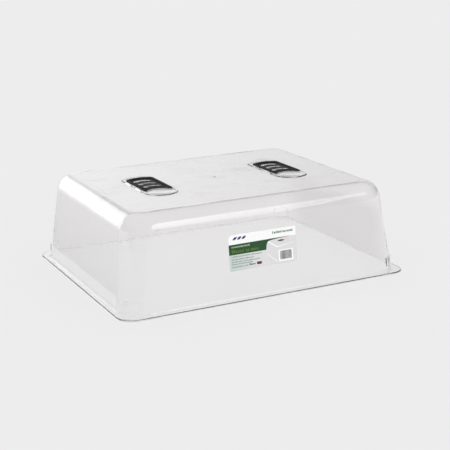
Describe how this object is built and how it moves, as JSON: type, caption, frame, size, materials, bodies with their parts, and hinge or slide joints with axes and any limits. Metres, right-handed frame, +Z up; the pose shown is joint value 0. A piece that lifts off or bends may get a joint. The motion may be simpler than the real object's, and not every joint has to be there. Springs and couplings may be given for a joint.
{
  "type": "propagator cover",
  "caption": "Clear rigid rectangular propagator dome with a rolled shoulder, outward flange, stacking lugs, sliding top vents and a front label.",
  "frame": {"origin": "middle of the resting plane under the flange's lip", "axes": "+X along the long side, +Y from the labelled front wall to the back, +Z up through the flat top"},
  "size_m": [0.52, 0.42, 0.1581],
  "materials": {
    "clear_plastic": "clear glossy injection-moulded polystyrene",
    "vent_plastic": "charcoal, fine satin moulded grain",
    "label_film": "white printed film with a green band"
  },
  "bodies": {
    "cover_body": {"cover": "clear_plastic", "product_label": "label_film"},
    "left_slider_body": {"left_vent_slider": "vent_plastic"},
    "right_slider_body": {"right_vent_slider": "vent_plastic"}
  },
  "joints": [
    {"name": "left_vent_slide", "type": "slide", "parent": "cover_body", "child": "left_slider_body", "axis": [0, 1, 0], "range_m": [0, 0.0105]},
    {"name": "right_vent_slide", "type": "slide", "parent": "cover_body", "child": "right_slider_body", "axis": [0, 1, 0], "range_m": [0, 0.0105]}
  ]
}
